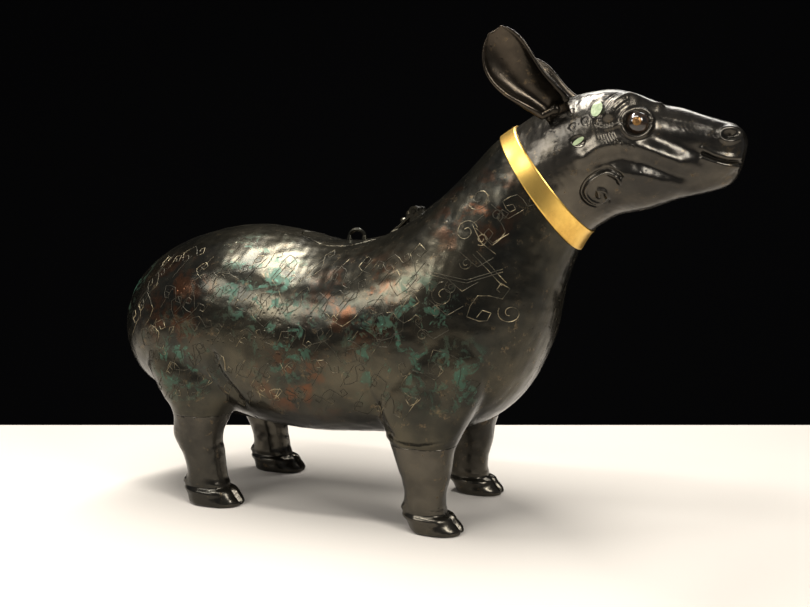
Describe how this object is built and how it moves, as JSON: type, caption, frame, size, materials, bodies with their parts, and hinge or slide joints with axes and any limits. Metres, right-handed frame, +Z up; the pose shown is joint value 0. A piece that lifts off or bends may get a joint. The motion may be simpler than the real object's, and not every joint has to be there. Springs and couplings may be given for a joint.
{
  "type": "animal-shaped wine vessel",
  "caption": "Cast bronze wine vessel in the shape of a standing hoofed animal, with a hinged lid on its back, a gold collar band and inlaid metal scrollwork.",
  "frame": {"origin": "on the surface the hooves stand on, in the plane of symmetry, under the middle of the overall length", "axes": "+X towards the head, +Y to the animal's left, +Z up"},
  "size_m": [0.3878, 0.1322, 0.281],
  "materials": {
    "bronze": "dark brown-black polished patina with green and red-brown patches",
    "gold": "satin gilt band, worn and stained",
    "stone": "pale green weathered inlay",
    "eye": "glossy dark glass paste"
  },
  "bodies": {
    "vessel": {"trunk": "bronze", "head": "bronze", "leg_front_right": "bronze", "leg_front_left": "bronze", "leg_rear_right": "bronze", "leg_rear_left": "bronze", "ear_right": "bronze", "ear_left": "bronze", "collar": "gold", "eye_right": "eye", "eye_left": "eye", "pupil_right": "gold", "pupil_left": "gold", "brow_inlay_right": "stone", "brow_inlay_left": "stone", "temple_inlay_right": "stone", "temple_inlay_left": "stone", "crown_inlay": "stone", "hinge_bracket": "bronze", "hinge_pin": "bronze"},
    "lid": {"lid": "bronze", "lid_loop": "bronze"}
  },
  "joints": [
    {"name": "lid_hinge", "type": "hinge", "parent": "vessel", "child": "lid", "pos_m": [0.00625, 0, 0.1822], "axis": [0, 1, 0], "range_deg": [0, 100]}
  ]
}
